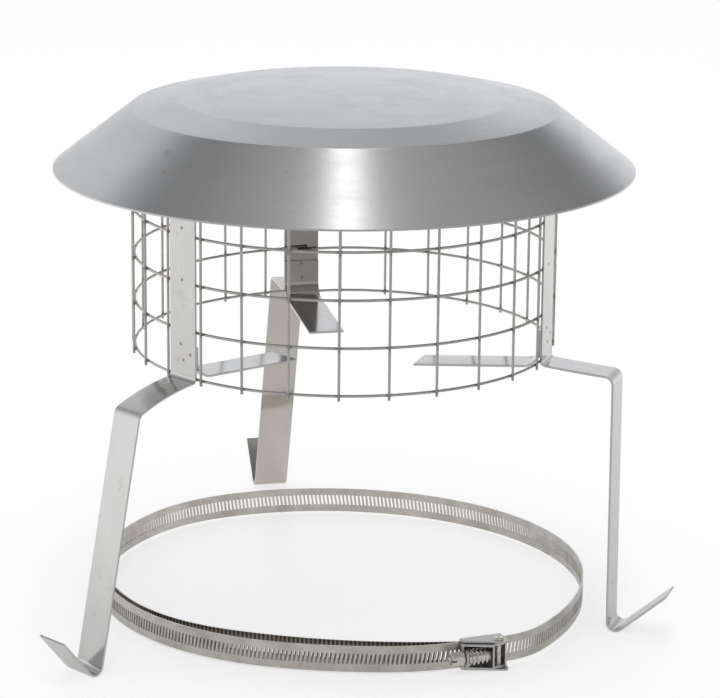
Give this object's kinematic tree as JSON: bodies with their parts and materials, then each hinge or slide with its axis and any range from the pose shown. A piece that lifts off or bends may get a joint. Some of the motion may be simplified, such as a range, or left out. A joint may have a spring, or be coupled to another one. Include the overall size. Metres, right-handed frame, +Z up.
{
  "type": "chimney cap",
  "caption": "Chimney cap: a sheet metal hat over a round wire mesh cage on bent strip legs, with the loose worm screw strap that clamps the legs to a pot.",
  "frame": {"origin": "on the cap's own axis, at the centre of the cage's bottom hoop, where the legs turn out over the pot's rim", "axes": "+Z up along the cap's axis, -Y to the front, where the strap's lock lies, +X to the right of the lock; the rear leg is on +Y"},
  "size_m": [0.3483, 0.3914, 0.2882],
  "materials": {
    "spun_hat": "satin stainless sheet, faint spinning marks",
    "mesh_wire": "dull drawn stainless wire",
    "strip_steel": "mill finish stainless strip, scuffed at the bends",
    "strap_steel": "rolled stainless strap with punched slots",
    "lock_steel": "pressed stainless sheet",
    "screw_steel": "turned stainless steel"
  },
  "bodies": {
    "cap": {"hat": "spun_hat", "hoop_1": "mesh_wire", "hoop_2": "mesh_wire", "hoop_3": "mesh_wire", "hoop_4": "mesh_wire", "hoop_5": "mesh_wire", "hoop_6": "mesh_wire", "upright_01": "mesh_wire", "upright_02": "mesh_wire", "upright_03": "mesh_wire", "upright_04": "mesh_wire", "upright_05": "mesh_wire", "upright_06": "mesh_wire", "upright_07": "mesh_wire", "upright_08": "mesh_wire", "upright_09": "mesh_wire", "upright_10": "mesh_wire", "upright_11": "mesh_wire", "upright_12": "mesh_wire", "upright_13": "mesh_wire", "upright_14": "mesh_wire", "upright_15": "mesh_wire", "upright_16": "mesh_wire", "upright_17": "mesh_wire", "upright_18": "mesh_wire", "upright_19": "mesh_wire", "upright_20": "mesh_wire", "upright_21": "mesh_wire", "upright_22": "mesh_wire", "upright_23": "mesh_wire", "upright_24": "mesh_wire", "upright_25": "mesh_wire", "upright_26": "mesh_wire", "upright_27": "mesh_wire", "leg_front_left": "strip_steel", "leg_front_right": "strip_steel", "leg_rear": "strip_steel", "finger_front_left": "strip_steel", "finger_front_right": "strip_steel", "finger_rear": "strip_steel", "pot_strap": "strap_steel", "strap_saddle": "lock_steel", "pivot_pin": "screw_steel"},
    "carrier": {"screw_carrier": "lock_steel"},
    "screw": {"worm_screw": "screw_steel"}
  },
  "joints": [
    {"name": "carrier_swing", "type": "hinge", "parent": "cap", "child": "carrier", "pos_m": [0.05668, -0.13202, -0.1391], "axis": [0, 0, 1], "range_deg": [0, 75]},
    {"name": "screw_turn", "type": "hinge", "parent": "carrier", "child": "screw", "pos_m": [0.04974, -0.13325, -0.1391], "axis": [-0.9848, -0.1736, 0], "continuous": true}
  ]
}
